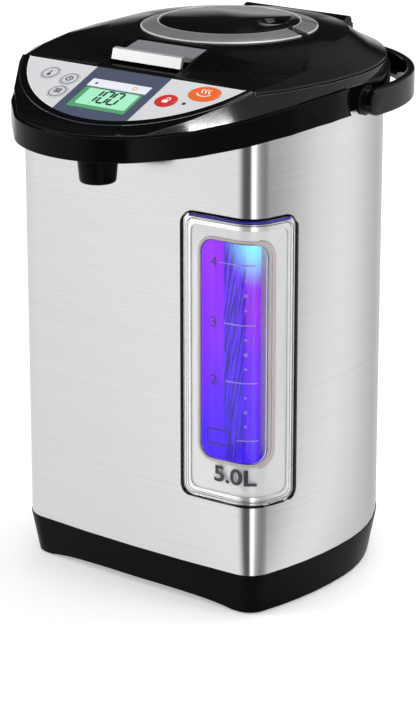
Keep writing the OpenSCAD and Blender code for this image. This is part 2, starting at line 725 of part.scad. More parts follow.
module head_frame() color(black) difference() {
    union() {
        difference() {
            intersection() {
                head_prism(frame_off, 290, 360);
                frame_top_line(0);
            }
            intersection() {
                head_prism(frame_off - head_wall, 280, 360);
                frame_top_line(skin);
                box([-far, -far, 0], [far, 100, 500]);
            }
            along_x(concat([[-nose_reach - 4, 200]], lifted(seam_line, 0),
                           [[back_y, seam_z], [back_y, 200]]));
            rod_z(collar_out + 0.4, 290, 360, pot_c, 120);
        }
        // fixed rear deck behind the lid
        difference() {
            intersection() {
                crown();
                box([-far, hinge[1] - 1, rim_z - e], [far, 130, 360]);
            }
            rod_z(collar_out + 0.4, 290, 360, pot_c, 120);
        }
        // knuckles that hold the hinge pin
        both_sides() intersection() {
            rod_x(hinge_r, knuckle_out - knuckle_in, [(knuckle_out + knuckle_in) / 2, hinge[1], hinge[2]]);
            box([0, 60, 330], [60, 100, 360]);
        }
        both_sides() box([knuckle_in, hinge[1] - 1, rim_z - e], [knuckle_out, hinge[1] + 6, hinge[2] - 1]);
        // posts that carry the control board
        on_panel() for (p = board_posts) translate([p[0], p[1], board_z])
            cylinder(r = 2.4, h = -board_z - plate_sink - 0.4, $fn = 24);
    }
    // room for the lid's barrel and rear edge to turn
    rod_x(hinge_r + 1.3, 2 * knuckle_in, hinge);
    box([-knuckle_in, hinge[1] - 6, rim_z - 6], [knuckle_in, hinge[1], 360]);
    rod_x(1.5, 2 * knuckle_out - 3, hinge, 32);
    // bed of the panel and the openings under it
    on_panel() {
        translate([0, 0, -plate_sink]) linear_extrude(10) panel_shape(0.15);
        translate([-lcd_half + 1, lcd_low + 2, -6]) cube([2 * lcd_half - 2, lcd_high - lcd_low - 3, 12]);
        key_holes(-6, 8);
    }
}

// ---- control panel ----

band_half = 28;
module panel_plates() color(silver) on_panel() difference() {
    translate([0, 0, -plate_sink]) linear_extrude(1.2) difference() {
        panel_shape();
        translate([-band_half, -60]) square([2 * band_half, 120]);
    }
    key_holes(-3, 2);
}

module panel_band() color(slate) on_panel() difference() {
    translate([0, 0, -plate_sink]) linear_extrude(1.3) intersection() {
        panel_shape();
        translate([-band_half, -60]) square([2 * band_half, 120]);
    }
    translate([-lcd_half - 0.5, lcd_low - 0.5, 0]) cube([2 * lcd_half + 1, header_high - lcd_low + 1, 3]);
    translate([-lcd_half + 1.4, lcd_low + 2.4, -3]) cube([2 * lcd_half - 2.8, lcd_high - lcd_low - 3.8, 5]);
}

module display_bezel() color([0.7, 0.74, 0.8]) on_panel()
    translate([-lcd_half - 0.5, header_low, 0]) cube([2 * lcd_half + 1, header_high - header_low, 0.5]);

module display_window() color([0.25, 0.55, 0.3]) on_panel() {
    translate([-lcd_half, lcd_low, 0]) cube([2 * lcd_half, lcd_high - lcd_low, 0.5]);
    translate([-lcd_half + 1.6, lcd_low + 2.6, -5])
        cube([2 * lcd_half - 3.2, lcd_high - lcd_low - 4.2, 5 + e]);
}

module key_cap(k, proud) on_panel() {
    translate([0, 0, -4.7]) linear_extrude(4.7 + proud) key_plan(k);
    translate([0, 0, -3.3]) linear_extrude(1) key_plan(k, 0.45);
    translate([0, 0, proud - e]) linear_extrude(0.3) key_plan(k, -0.5);
}
module temperature_button() color([0.8, 0.81, 0.83]) key_cap(keys[0], 0.4);
module timer_button() color([0.8, 0.81, 0.83]) key_cap(keys[1], 0.4);
module reboil_button() color([0.8, 0.81, 0.83]) key_cap(keys[2], 0.4);
module unlock_button() color([0.85, 0.12, 0.08]) key_cap(keys[3], 0.5);
module dispense_button() color([0.93, 0.32, 0.1]) key_cap(keys[4], 0.5);

module lock_lamp() color([0.05, 0.05, 0.05]) on_panel()
    translate([lamp_spot[0], lamp_spot[1], board_z]) {
        cylinder(r = 1.2, h = 0.3 - board_z, $fn = 24);
        cylinder(r = 2, h = 3, $fn = 24);
    }

// The board, with a switch under each key that the key reaches at the end of its travel
module control_board() color([0.2, 0.42, 0.25]) on_panel() {
    translate([0, 0, board_z - 1.6]) linear_extrude(1.6)
        polygon([[-71, 20], [-71, 5], [-46, -8], [-28, -8], [-28, 2], [45, 2], [50, 13], [63, 14], [63, 20]]);
    for (k = keys) translate([k[0], min(k[1], 17), board_z - e])
        cylinder(r = 2.2, h = -board_z - 4.7 - button_travel - 0.05, $fn = 24);
}

// ---- lid ----

lid_back = 79.4;
lid_front = panel_top_y + 0.6;
lid_split = rim_z + gap + 1;
latch_half = 26;

// The lid's plan from front line to back line
module lid_plan(inset = 0) intersection() {
    polygon(head_outline(lid_off - inset));
    translate([-far, lid_front + inset]) square([2 * far, lid_back - lid_front - 2 * inset]);
}

latch_pivot = [0, -55.6, 342.2];
latch_room = [[-53, 349], [-52.6, 340.2], [-70, 336.4], [-80, 335.6], [-98, 334.9], [-98, 349]];

module lid_cover() color(black) difference() {
    union() {
        difference() {
            intersection() {
                crown();
                translate([0, 0, lid_split]) linear_extrude(40) lid_plan();
            }
            difference() {
                intersection() {
                    crown(2.2, 2.4);
                    translate([0, 0, 320]) linear_extrude(60) lid_plan(2.2);
                }
                // tray under the latch
                box([-latch_half - 4, -97, 300], [latch_half + 4, -50.4, 360]);
            }
        }
        // ears that hold the latch pin
        both_sides() box([latch_half + 1.2, -60, 336], [latch_half + 3.6, -51, 343]);
        // barrel of the hinge
        intersection() {
            rod_x(hinge_r, 2 * knuckle_in - 0.8, hinge);
            box([-50, 60, 330], [50, 90, 360]);
        }
        box([-knuckle_in + 0.4, lid_back - 3, lid_split], [knuckle_in - 0.4, hinge[1], hinge[2]]);
    }
    along_x(latch_room, 2 * latch_half + 1.6);
    rod_x(1, 2 * latch_half + 5.4, latch_pivot, 32);
    rod_x(1.55, 2 * knuckle_in + 2, hinge, 32);
    // notches for the fixed knuckles
    both_sides() rod_between(hinge_r + 0.5, knuckle_in - 0.4, knuckle_out + 0.4, hinge);
    // seats of the vent disc and the valve
    rod_z(12, 320, 360, dome_c);
}

module lid_frame() color(soft_black) difference() {
    union() {
        translate([0, 0, rim_z + gap]) linear_extrude(lid_split - rim_z - gap) lid_plan();
        ring_z(78.2, 81, 317.6, rim_z + gap + 1, pot_c);
        ring_z(73, 79, 317.6, 319.4, pot_c);
    }
    rod_z(72, 300, 319, pot_c);
    rod_z(50, 300, 360, pot_c);
    for (a = [20 : 40 : 340]) translate(pot_c) rotate([0, 0, a]) translate([66, 0, 320])
        cylinder(r = 6, h = 20, $fn = 32);
}

module lid_liner() color(steel) difference() {
    translate([pot_c[0], pot_c[1], 0]) rotate_extrude($fn = 96)
        polygon([[0, 313.8], [60, 313.8], [66, 316.8], [77.4, 316.8], [77.4, 317.6], [65.6, 317.6],
                 [59.6, 314.6], [0, 314.6]]);
    rod_z(9, 300, 330, dome_c);
}

module lid_seal() color([0.82, 0.82, 0.8]) translate([pot_c[0], pot_c[1], 0])
    rotate_extrude($fn = 96)
        polygon([[77.4, 314.6], [78.4, deck_z + 0.4], [80.2, deck_z + 0.4], [81.2, 316], [81.2, 317.6],
                 [77.4, 317.6]]);

ring_low = lid_top;
module ring_profile() polygon([[44.9, 0], [ring_r, 0], [ring_r, 0.8], [45.6, 4], [44.9, 4]]);
module lid_ring() color(silver) translate([dome_c[0], dome_c[1], ring_low])
    rotate([0, 0, 40]) rotate_extrude(angle = 318, $fn = 120) ring_profile();
module ring_tab() color(silver) translate([dome_c[0], dome_c[1], ring_low])
    rotate([0, 0, 6]) rotate_extrude(angle = 29, $fn = 120) ring_profile();

dimple_c = [26, 15];
module vent_disc() color(black) difference() {
    translate([dome_c[0], dome_c[1], ring_low]) rotate_extrude($fn = 120)
        polygon([[0, 0], [44.8, 0], [44.8, 3.4], [43.4, 4], [0, 4.4]]);
    translate([dimple_c[0], dimple_c[1], ring_low + 14.6]) sphere(r = 14, $fn = 64);
    translate([dimple_c[0], dimple_c[1], ring_low - 1]) cylinder(r = 2, h = 6, $fn = 24);
    rod_z(11, ring_low - 1, ring_low + 0.8, dome_c);
    // steam way from the valve to the dimple
    box([0, 13, ring_low - e], [28, 17, ring_low + 0.7]);
}

module vent_valve() color([0.85, 0.85, 0.83]) translate([dome_c[0], dome_c[1], 0])
    rotate_extrude($fn = 64) polygon([[3, 312.6], [8.9, 312.6], [8.9, 318], [11, 319], [11, 345.8],
        [9, 345.8], [9, 320.4], [3, 320.4]]);

module hinge_pin() color(steel) rod_x(1.5, 2 * knuckle_out - 4, hinge, 32);

module latch_lever() color([0.68, 0.69, 0.71]) difference() {
    union() {
        along_x([[-56, 344.4], [-70, 341.4], [-78.6, 344.3], [-81.6, 343.9], [-83.4, 337.4],
                 [-81.4, 337.2], [-79.9, 341.4], [-70.4, 339], [-56, 341.8]], 2 * latch_half);
        intersection() {
            rod_x(2.2, 2 * latch_half, latch_pivot);
            box([-far, -70, 300], [far, -50, 400]);
        }
    }
    rod_x(1.05, 80, latch_pivot, 32);
}

module latch_pin() color(steel) rod_x(1, 2 * latch_half + 5, latch_pivot, 32);

module latch_spring() color(steel)
    for (x = [-10, 10]) translate([x, -72.5, 336.5]) ring_z(1.8, 2.6, 0, 2.2, [0, 0], 32);

// ---- handle ----

bend_c = [0, handle_reach - handle_half];
arm_in = handle_half - strap_t;
lean = 2.5;

// The right half of the strap's plan, as a straight arm and a quarter circle
function bail_path(off) = concat(
    [[handle_half + off, pivot[1]]],
    arc(bend_c, handle_half + off, 0, 90, 20));
function both_halves(outer, inner) = concat(
    outer, [for (p = reversed(outer)) [-p[0], p[1]]],
    [for (p = inner) [-p[0], p[1]]], reversed(inner));

module handle_bail() color(black) difference() {
    union() {
        // the strap leans down a little towards the back
        intersection() {
            translate([0, 0, 280]) linear_extrude(60) polygon(both_halves(bail_path(0), bail_path(-strap_t)));
            along_x([[pivot[1], pivot[2] - strap_w / 2], [handle_reach + 1, pivot[2] - strap_w / 2 - lean],
                     [handle_reach + 1, pivot[2] + strap_w / 2 - lean], [pivot[1], pivot[2] + strap_w / 2]]);
        }
        // round ends over the pivots
        both_sides() rod_between(strap_w / 2, arm_in, handle_half);
    }
    both_sides() rod_between(pin_r + 0.05, arm_in - 1, arm_in + 3.2);
    // softening channel inside the grip
    translate([0, 0, pivot[2]]) rotate([-1.1, 0, 0]) intersection() {
        translate([0, 0, -5]) linear_extrude(10) polygon(both_halves(bail_path(-3.4), bail_path(-9)));
        translate([-70, 60, -10]) cube([140, 80, 20]);
    }
}

module handle_hubs() color(black) both_sides() difference() {
    union() {
        rod_between(hub_r, notch_x, arm_in - 0.3);
        rod_between(hub_r + 1.4, notch_x, notch_x + 1.2);
    }
    rod_between(pin_r, notch_x - 1, arm_in + 1);
}

module handle_pins() color(steel) both_sides()
    rod_between(pin_r, notch_x - 7, arm_in + 3);

// ---- one line for each part ----

base_shell();
bottom_plate();
rubber_feet();
base_screws();
body_shell();
window_cover();
window_panel();
window_backlight();
sight_tube();
window_lamps();
inner_pot();
pot_gasket();
pot_posts();
heater_plate();
heater_ring();
thermostat();
thermal_fuse();
pump_housing();
pump_cover();
pump_impeller();
pump_motor();
pot_outlet_hose();
gauge_hose();
spout_hose();
power_board();
power_board_parts();
power_inlet();
inlet_pins();
shoulder();
head_frame();
head_screws();
spout_nozzle();
panel_plates();
panel_band();
display_bezel();
display_window();
temperature_button();
timer_button();
reboil_button();
unlock_button();
dispense_button();
lock_lamp();
control_board();
lid_cover();
lid_frame();
lid_liner();
lid_seal();
lid_ring();
ring_tab();
vent_disc();
vent_valve();
hinge_pin();
latch_lever();
latch_pin();
latch_spring();
handle_bail();
handle_hubs();
handle_pins();
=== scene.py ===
import bpy
import json
from math import atan2, cos, degrees, hypot, pi, radians, sin, sqrt
from mathutils import Matrix, Vector


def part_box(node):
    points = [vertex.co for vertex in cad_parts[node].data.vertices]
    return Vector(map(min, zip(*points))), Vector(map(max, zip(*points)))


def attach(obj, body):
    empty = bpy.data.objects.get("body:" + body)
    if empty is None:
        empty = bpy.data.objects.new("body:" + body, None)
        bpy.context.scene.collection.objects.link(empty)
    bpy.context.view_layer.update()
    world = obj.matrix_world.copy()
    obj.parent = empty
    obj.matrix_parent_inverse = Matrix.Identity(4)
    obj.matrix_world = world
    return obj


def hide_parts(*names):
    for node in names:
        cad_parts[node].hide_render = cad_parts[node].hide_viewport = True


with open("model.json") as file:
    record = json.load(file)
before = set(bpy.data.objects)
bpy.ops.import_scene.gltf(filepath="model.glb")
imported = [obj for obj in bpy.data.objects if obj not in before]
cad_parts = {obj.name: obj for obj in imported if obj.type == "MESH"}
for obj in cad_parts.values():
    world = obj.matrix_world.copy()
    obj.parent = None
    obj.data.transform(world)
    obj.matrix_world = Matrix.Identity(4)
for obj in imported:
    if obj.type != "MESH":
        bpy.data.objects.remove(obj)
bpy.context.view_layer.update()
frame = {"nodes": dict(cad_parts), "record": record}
scene = bpy.context.scene
scene.view_settings.view_transform = "Standard"
MM, TO_MM = 0.001, 1000


# ---- shader nodes ----

def put(tree, socket, value):
    """Links a socket to an input, or sets the input to a plain value."""
    if isinstance(value, bpy.types.NodeSocket):
        tree.links.new(value, socket)
    elif socket.type == "RGBA":
        socket.default_value = (*value[:3], 1)
    else:
        socket.default_value = value


def add_node(tree, kind, inputs=None, **settings):
    """A shader node; its inputs are plain values or sockets."""
    node = tree.nodes.new(kind)
    for key, value in settings.items():
        setattr(node, key, value)
    for key, value in (inputs or {}).items():
        put(tree, node.inputs[key], value)
    return node


def maths(tree, operation, *values):
    """A number worked out from others; each is a plain value or a socket."""
    return add_node(tree, "ShaderNodeMath", dict(enumerate(values)), operation=operation).outputs[0]


def vector_maths(tree, operation, *values):
    """The same for vectors; a length or a dot product is a number."""
    node = add_node(tree, "ShaderNodeVectorMath", dict(enumerate(values)), operation=operation)
    return node.outputs["Value" if operation in ("LENGTH", "DOT_PRODUCT") else "Vector"]


def apart(tree, vector):
    """The X, Y and Z of a vector."""
    return add_node(tree, "ShaderNodeSeparateXYZ", {0: vector}).outputs


def own_place(tree):
    """The place on the piece itself, in metres."""
    return add_node(tree, "ShaderNodeTexCoord").outputs["Object"]


def ranged(tree, value, low, high, to_low=0.0, to_high=1.0, **settings):
    """A number that goes from to_low to to_high while the value goes from low to high."""
    ends = {"Value": value, "From Min": low, "From Max": high, "To Min": to_low, "To Max": to_high}
    return add_node(tree, "ShaderNodeMapRange", ends, **settings).outputs["Result"]


def between(tree, factor, low, high):
    """A number that moves from low to high with the factor."""
    return ranged(tree, factor, 0.0, 1.0, low, high)


def mixed(tree, factor, first, second):
    """A number between two others."""
    return add_node(tree, "ShaderNodeMix", {0: factor, 2: first, 3: second}).outputs[0]


def blended(tree, factor, first, second):
    """A colour between two others."""
    inputs = {0: factor, 6: first, 7: second}
    return add_node(tree, "ShaderNodeMix", inputs, data_type="RGBA").outputs[2]


def noise(tree, place, scale, detail, **more):
    """Cloudy noise from 0 to 1."""
    inputs = {"Vector": place, "Scale": scale, "Detail": detail, **more}
    return add_node(tree, "ShaderNodeTexNoise", inputs).outputs["Fac"]


def bumped(tree, height, strength, distance):
    inputs = {"Height": height, "Strength": strength, "Distance": distance}
    return add_node(tree, "ShaderNodeBump", inputs).outputs["Normal"]


def new_material(name, **constants):
    """A material with its shader's plain values set, such as Specular_IOR_Level=0.1."""
    material = bpy.data.materials.new(name)
    material.use_nodes = True
    tree = material.node_tree
    shader = tree.nodes["Principled BSDF"]
    for key, value in constants.items():
        put(tree, shader.inputs[key.replace("_", " ")], value)
    return material, tree, shader.inputs


# ---- camera, light and floor ----

def set_camera():
    """A long lens above the lid, turned 35 degrees towards the window side."""
    turn, reach, height = 0.6143, 1.5, 0.6587
    tip_down, look_aside = 0.2676, 0.0071
    data = bpy.data.cameras.new("camera")
    data.sensor_fit = "AUTO"
    data.sensor_width = 36
    data.lens = 122.70886
    data.shift_y = -0.25
    data.clip_start, data.clip_end = 0.05, 20
    camera = bpy.data.objects.new("camera", data)
    scene.collection.objects.link(camera)
    camera.location = (reach * sin(turn), -reach * cos(turn), height)
    camera.rotation_euler = (pi / 2 - tip_down, 0, turn + look_aside)
    scene.camera = camera


def soft_lamp(name, turn, height, reach, aim, size, watts):
    """A soft box; turn is in degrees round the pot, from its front towards the window side."""
    data = bpy.data.lights.new(name, "AREA")
    data.shape, data.size, data.size_y = "RECTANGLE", size[0], size[1]
    data.energy = watts
    lamp = bpy.data.objects.new(name, data)
    scene.collection.objects.link(lamp)
    lamp.location = (reach * sin(radians(turn)), -reach * cos(radians(turn)), height)
    lamp.rotation_euler = (Vector(aim) - lamp.location).to_track_quat("-Z", "Y").to_euler()
    lamp.visible_camera = False
    return lamp


# How bright the room is round the pot: degrees from its front towards the window side, and level
ROOM = (
    (-180, 0.62), (-150, 0.7), (-120, 0.85), (-85, 1.0), (-60, 1.04), (-38, 1.14),
    (-22, 1.08), (-8, 0.6), (0, 0.22), (12, 0.12), (29, 0.16), (35, 1.6), (48, 1.75),
    (56, 0.8), (68, 0.45), (84, 0.3), (98, 0.34), (110, 0.48), (120, 0.75), (130, 1.02),
    (144, 1.14), (162, 0.85), (180, 0.62),
)
BRIGHTEST = 2.0
PLAIN_ROOM = 0.6
DARK_CEILING = 0.02
CEILING_BOARD = 0.25
WINDOW_CORNER = (0.095, -0.105, 0)


def room_level(tree, way):
    """The brightness of the room in a direction: white boards with dark gaps between them."""
    x, y, _ = apart(tree, way)
    turn = maths(tree, "ARCTAN2", x, maths(tree, "MULTIPLY", y, -1.0))
    share = maths(tree, "MULTIPLY_ADD", turn, 1 / (2 * pi), 0.5)
    ramp = add_node(tree, "ShaderNodeValToRGB", {0: share})
    stops = ramp.color_ramp.elements
    while len(stops) < len(ROOM):
        stops.new(0.5)
    for stop, (degree, _) in zip(stops, ROOM):
        stop.position = (degree + 180) / 360
    for stop, (_, level) in zip(stops, ROOM):
        stop.color = (level / BRIGHTEST, level / BRIGHTEST, level / BRIGHTEST, 1)
    return maths(tree, "MULTIPLY", ramp.outputs[0], BRIGHTEST)


def straight_view(tree, path):
    """1 for what is seen directly or through clear plastic."""
    return maths(tree, "MAXIMUM", path["Is Camera Ray"], path["Is Transmission Ray"])


def set_table():
    """A white table that carries the room's boards and gaps on, for the steel to mirror."""
    bpy.ops.mesh.primitive_plane_add(size=12, location=(0, 0, 0))
    table = bpy.context.object
    table.name = "table_top"
    white, tree, shader = new_material("white_table", Roughness=0.8, Specular_IOR_Level=0.0,
                                       Emission_Color=(1, 1, 1))
    path = add_node(tree, "ShaderNodeLightPath").outputs
    place = own_place(tree)
    paint = blended(tree, path["Is Glossy Ray"], (0.9, 0.9, 0.9), (0, 0, 0))
    put(tree, shader["Base Color"], paint)
    # the boards turn round the window corner, where the steel shows them most
    from_corner = vector_maths(tree, "SUBTRACT", place, WINDOW_CORNER)
    boards = maths(tree, "MULTIPLY", path["Is Glossy Ray"], room_level(tree, from_corner))
    # painted shade: the table's glow is weaker near the pot and brightens to white away from it; it
    # keeps its cast shadow too
    near, far, shaded_near_glow, far_glow = 0.25, 1.6, 0.34, 0.55
    away = vector_maths(tree, "LENGTH", place)
    fill = ranged(tree, away, near, far, shaded_near_glow, far_glow)
    glow = maths(tree, "MULTIPLY_ADD", straight_view(tree, path), fill, boards)
    put(tree, shader["Emission Strength"], glow)
    table.data.materials.append(white)


def set_room():
    """White walls with dark gaps, a dark ceiling, and one dim board high behind the pot."""
    world = bpy.data.worlds.new("white_room")
    scene.world = world
    world.use_nodes = True
    tree = world.node_tree
    background = tree.nodes["Background"].inputs
    put(tree, background["Color"], (1, 1, 1))
    path = add_node(tree, "ShaderNodeLightPath").outputs
    way = add_node(tree, "ShaderNodeTexCoord").outputs["Generated"]
    # the walls fade into the ceiling between 1 and 9 degrees above level
    wall_ends, ceiling_starts = 0.02, 0.16
    high = ranged(tree, apart(tree, way)["Z"], wall_ends, ceiling_starts)
    board_middle, board_edge, board_full = (-0.10, 0.80, 0.59), 0.90, 0.985
    towards_board = vector_maths(tree, "DOT_PRODUCT", way, board_middle)
    board = ranged(tree, towards_board, board_edge, board_full, 0.0, CEILING_BOARD)
    ceiling = maths(tree, "ADD", board, DARK_CEILING)
    mirrored = mixed(tree, high, room_level(tree, way), ceiling)
    plain = maths(tree, "MULTIPLY_ADD", straight_view(tree, path), 1 - PLAIN_ROOM, PLAIN_ROOM)
    put(tree, background["Strength"], mixed(tree, path["Is Glossy Ray"], plain, mirrored))


def set_lamps():
    """Three soft boxes, and a small strip for the glint on the head, which it returns."""
    middle = (0, 0, 0.2)
    soft_lamp("left_softbox", -42, 0.9, 1.6, middle, (0.7, 1.1), 10)
    soft_lamp("right_softbox", 100, 0.8, 1.6, middle, (0.5, 1.2), 6)
    soft_lamp("top_softbox", 160, 1.7, 0.4, middle, (1.0, 0.8), 10)
    return soft_lamp("rim_strip", 67, 0.12, 0.75, (0.09, -0.09, 0.31), (0.2, 0.05), 26)


set_camera()
set_table()
set_room()
rim_strip = set_lamps()


# ---- effects that several finishes share ----

def new_group(name, inputs, *outputs):
    """A shader node group of numbers; an output that is called Colour is a colour."""
    group = bpy.data.node_groups.new(name, "ShaderNodeTree")
    for label, value in inputs.items():
        socket = group.interface.new_socket(label, in_out="INPUT", socket_type="NodeSocketFloat")
        socket.default_value = value
    for label in outputs:
        kind = "NodeSocketColor" if label == "Colour" else "NodeSocketFloat"
        group.interface.new_socket(label, in_out="OUTPUT", socket_type=kind)
    given = group.nodes.new("NodeGroupInput").outputs
    return group, given, group.nodes.new("NodeGroupOutput").inputs


def make_brushing():
    """Fine hair lines that run level round the metal."""
    group, given, out = new_group("brushed_lines", {"Fineness": 900.0, "Length": 5.0}, "Lines")
    stretch = add_node(group, "ShaderNodeCombineXYZ",
                       {"X": given["Length"], "Y": given["Length"], "Z": given["Fineness"]})
    drawn = vector_maths(group, "MULTIPLY", own_place(group), stretch.outputs[0])
    put(group, out["Lines"], noise(group, drawn, 1.0, 3.0, Roughness=0.7))
    return group


def make_grain():
    """Moulded plastic's fine texture: a height, and a slow change of sheen."""
    group, given, out = new_group("moulded_grain", {"Size": 1400.0}, "Height", "Sheen")
    place = own_place(group)
    put(group, out["Height"], noise(group, place, given["Size"], 2.0))
    put(group, out["Sheen"], noise(group, place, 26.0, 4.0))
    return group


def make_edge_wear_and_highlight():
    """A mask that is high along the edges of a piece: partly wear where handling polishes them,
    partly a painted highlight along the edges.
    """
    group, given, out = new_group("edge_wear_and_highlight", {"Width": 0.0006, "Breakup": 60.0}, "Edges")
    rounded_off = add_node(group, "ShaderNodeBevel", {"Radius": given["Width"]}, samples=4)
    flat = add_node(group, "ShaderNodeNewGeometry").outputs["Normal"]
    alike = vector_maths(group, "DOT_PRODUCT", rounded_off.outputs[0], flat)
    edge = ranged(group, alike, 0.995, 0.93)
    patches = noise(group, own_place(group), given["Breakup"], 3.0)
    put(group, out["Edges"], maths(group, "MULTIPLY", edge, patches))
    return group


def make_dust():
    """A mask of light dust that settles on upward faces."""
    group, given, out = new_group("settled_dust", {"Amount": 0.1}, "Dust")
    up = apart(group, add_node(group, "ShaderNodeNewGeometry").outputs["Normal"])["Z"]
    specks = noise(group, own_place(group), 340.0, 5.0, Roughness=0.7)
    fallen = maths(group, "MULTIPLY", ranged(group, up, 0.4, 1.0), ranged(group, specks, 0.5, 0.8))
    put(group, out["Dust"], maths(group, "MULTIPLY", fallen, given["Amount"]))
    return group


def soft_spot(tree, across, up, x, z, reach):
    """A mask that fades out round a place on the window; it is taller than it is wide."""
    beside = maths(tree, "POWER", maths(tree, "SUBTRACT", across, x), 2.0)
    above = maths(tree, "MULTIPLY", maths(tree, "SUBTRACT", up, z), 0.6)
    away = maths(tree, "SQRT", maths(tree, "ADD", beside, maths(tree, "POWER", above, 2.0)))
    return ranged(tree, away, reach, 0.0, interpolation_type="SMOOTHSTEP")


def make_window_glow():
    """The lit gauge: blue below, violet above, a cyan lamp at the top, and slanting streaks of
    painted shade from the level tube.
    """
    group, given, out = new_group("window_glow", {"Streaks": 0.0, "Middle": 0.0}, "Colour")
    place = own_place(group)
    # across runs level along the window, from the front towards the side
    x, y, up = apart(group, place)
    across = maths(group, "ADD", maths(group, "MULTIPLY", x, 0.8), maths(group, "MULTIPLY", y, 0.6))
    drift = maths(group, "MULTIPLY_ADD", noise(group, place, 38.0, 2.0), 0.5, -0.25)
    level = maths(group, "ADD", ranged(group, up, 0.105, 0.225), drift)
    colour = blended(group, level, (0.07, 0.01, 0.95), (0.33, 0.02, 0.97))
    bloom = soft_spot(group, across, up, 0.014, 0.205, 0.024)
    colour = blended(group, bloom, colour, (0.36, 0.02, 0.88))
    # painted shade of the level tube: darker threads lean through a blue band, which lies to both
    # sides of the middle
    lean = maths(group, "SUBTRACT", across, maths(group, "MULTIPLY", up, 0.13))
    drawn = add_node(group, "ShaderNodeCombineXYZ", {"X": maths(group, "MULTIPLY", lean, 900.0),
                                                     "Z": maths(group, "MULTIPLY", up, 34.0)})
    tube_shade_threads = ranged(group, noise(group, drawn.outputs[0], 1.0, 1.0), 0.46, 0.58)
    off_middle = maths(group, "ABSOLUTE", maths(group, "SUBTRACT", across, given["Middle"]))
    band = maths(group, "MULTIPLY", ranged(group, off_middle, 0.0072, 0.0058), given["Streaks"])
    colour = blended(group, maths(group, "MULTIPLY", band, 0.7), colour, (0.05, 0.01, 0.92))
    colour = blended(group, maths(group, "MULTIPLY", band, tube_shade_threads), colour, (0.02, 0.004, 0.36))
    lamp = soft_spot(group, across, up, 0.0135, 0.24, 0.0185)
    put(group, out["Colour"], blended(group, lamp, colour, (0.28, 0.95, 1.0)))
    return group


BRUSHING = make_brushing()
GRAIN = make_grain()
EDGE_WEAR_AND_HIGHLIGHT = make_edge_wear_and_highlight()
DUST = make_dust()
WINDOW_GLOW = make_window_glow()


def use_group(tree, group, **values):
    return add_node(tree, "ShaderNodeGroup", values, node_tree=group).outputs


# ---- finishes ----

def toned(colour, times, more=0.0):
    """A lighter or darker tone of a colour."""
    return tuple(min(1, c * times + more) for c in colour)


def moulded(name, colour, rough, grain, depth, dust=0.0, edge=0.0, edge_colour=None, **constants):
    """Injection-moulded plastic or rubber with its own grain, sheen and dust, and lighter edges
    that are partly wear and partly a painted highlight.
    """
    material, tree, shader = new_material(name, **constants)
    surface = use_group(tree, GRAIN, Size=grain)
    tint = blended(tree, surface["Sheen"], colour, toned(colour, 1.12, 0.002))
    if edge:
        # lighter edges: partly wear, partly a painted highlight
        wear_and_edge_highlight = between(tree, use_group(tree, EDGE_WEAR_AND_HIGHLIGHT)["Edges"], 0.0, edge)
        tint = blended(tree, wear_and_edge_highlight, tint, edge_colour or toned(colour, 1.8, 0.04))
    if dust:
        tint = blended(tree, use_group(tree, DUST, Amount=dust)["Dust"], tint, (0.55, 0.55, 0.54))
    put(tree, shader["Base Color"], tint)
    put(tree, shader["Roughness"], between(tree, surface["Sheen"], *rough))
    put(tree, shader["Normal"], bumped(tree, surface["Height"], 0.25, depth))
    return material


def metal(name, colour, rough, fineness=900.0, length=5.0, depth=0.00002, share=1.0, **constants):
    """Metal with level hair lines; share is how metallic it is, below 1 where it is matt."""
    material, tree, shader = new_material(name, Metallic=share, **constants)
    lines = use_group(tree, BRUSHING, Fineness=fineness, Length=length)["Lines"]
    tint = blended(tree, lines, toned(colour, 0.9), toned(colour, 1.08))
    put(tree, shader["Base Color"], tint)
    put(tree, shader["Roughness"], between(tree, lines, *rough))
    put(tree, shader["Normal"], bumped(tree, lines, 0.3, depth))
    return material


def ringed(name, colour, line, radii):
    """Satin silver round the lid's dome, with a painted highlight line along its inner and outer
    edge.
    """
    material, tree, shader = new_material(name, Metallic=0.2, Specular_IOR_Level=0.4)
    # the ring's middle is 5 mm behind the pot's
    from_middle = {"Vector": own_place(tree), "Location": (0, -0.005, 0)}
    half_highlight_width = 0.0005
    centred = add_node(tree, "ShaderNodeMapping", from_middle).outputs[0]
    away = vector_maths(tree, "LENGTH", vector_maths(tree, "MULTIPLY", centred, (1, 1, 0)))
    # painted highlight: a bright line at each of the ring's two edge radii
    near = [maths(tree, "COMPARE", away, radius, half_highlight_width) for radius in radii]
    lines = maths(tree, "MAXIMUM", *near)
    surface = use_group(tree, GRAIN, Size=1800.0)
    tint = blended(tree, surface["Sheen"], colour, toned(colour, 1.5))
    put(tree, shader["Base Color"], blended(tree, lines, tint, line))
    put(tree, shader["Roughness"], between(tree, surface["Sheen"], 0.26, 0.36))
    put(tree, shader["Normal"], bumped(tree, surface["Height"], 0.25, 0.00001))
    return material


def clear(name, colour, rough):
    """Thin clear plastic, seen straight through, that lets the lamps light what is behind it."""
    material, tree, shader = new_material(name, Transmission_Weight=1.0, IOR=1.2)
    sheen = use_group(tree, GRAIN, Size=300.0)["Sheen"]
    put(tree, shader["Base Color"], blended(tree, sheen, colour, toned(colour, 1.02)))
    put(tree, shader["Roughness"], between(tree, sheen, rough, rough * 1.6))
    shadow = add_node(tree, "ShaderNodeLightPath").outputs["Is Shadow Ray"]
    plastic = tree.nodes["Principled BSDF"].outputs[0]
    nothing = add_node(tree, "ShaderNodeBsdfTransparent").outputs[0]
    either = add_node(tree, "ShaderNodeMixShader", {0: shadow, 1: plastic, 2: nothing})
    put(tree, tree.nodes["Material Output"].inputs["Surface"], either.outputs[0])
    return material


def glowing(name, low, high, power, scale):
    """A lit surface whose colour drifts."""
    material, tree, shader = new_material(name, Roughness=0.4, Emission_Strength=power,
                                          Specular_IOR_Level=0.2)
    drift = noise(tree, own_place(tree), scale, 1.0)
    put(tree, shader["Base Color"], blended(tree, drift, (0.01, 0.01, 0.012), (0.02, 0.02, 0.024)))
    put(tree, shader["Emission Color"], blended(tree, drift, low, high))
    return material


